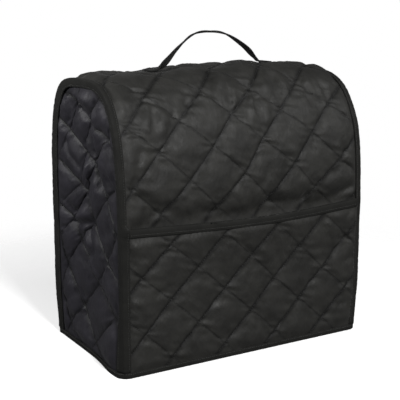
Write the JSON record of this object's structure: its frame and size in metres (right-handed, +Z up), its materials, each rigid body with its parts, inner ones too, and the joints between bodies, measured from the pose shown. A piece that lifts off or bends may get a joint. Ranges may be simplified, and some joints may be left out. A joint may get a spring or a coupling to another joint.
{
  "type": "stand mixer cover",
  "caption": "Quilted fabric dust cover with an arched top, bound seams, a full-width front pocket and a webbing carry handle, standing on its hem.",
  "frame": {"origin": "on the floor plane, under the middle of the whole cover", "axes": "+Z up, pocket towards -Y, the two arched end panels face -X and +X"},
  "size_m": [0.4072, 0.2366, 0.4572],
  "materials": {
    "quilted_cloth": "black quilted polyester, satin",
    "end_cloth": "black quilted polyester, satin",
    "binding_tape": "black woven tape, matt",
    "webbing": "black woven webbing, matt"
  },
  "bodies": {
    "root": {"main_panel": "quilted_cloth", "end_panel_left": "end_cloth", "end_panel_right": "end_cloth", "seam_binding_left": "binding_tape", "seam_binding_right": "binding_tape", "pocket_panel": "quilted_cloth", "pocket_binding": "binding_tape", "hem_binding": "binding_tape", "handle": "webbing"}
  },
  "joints": []
}
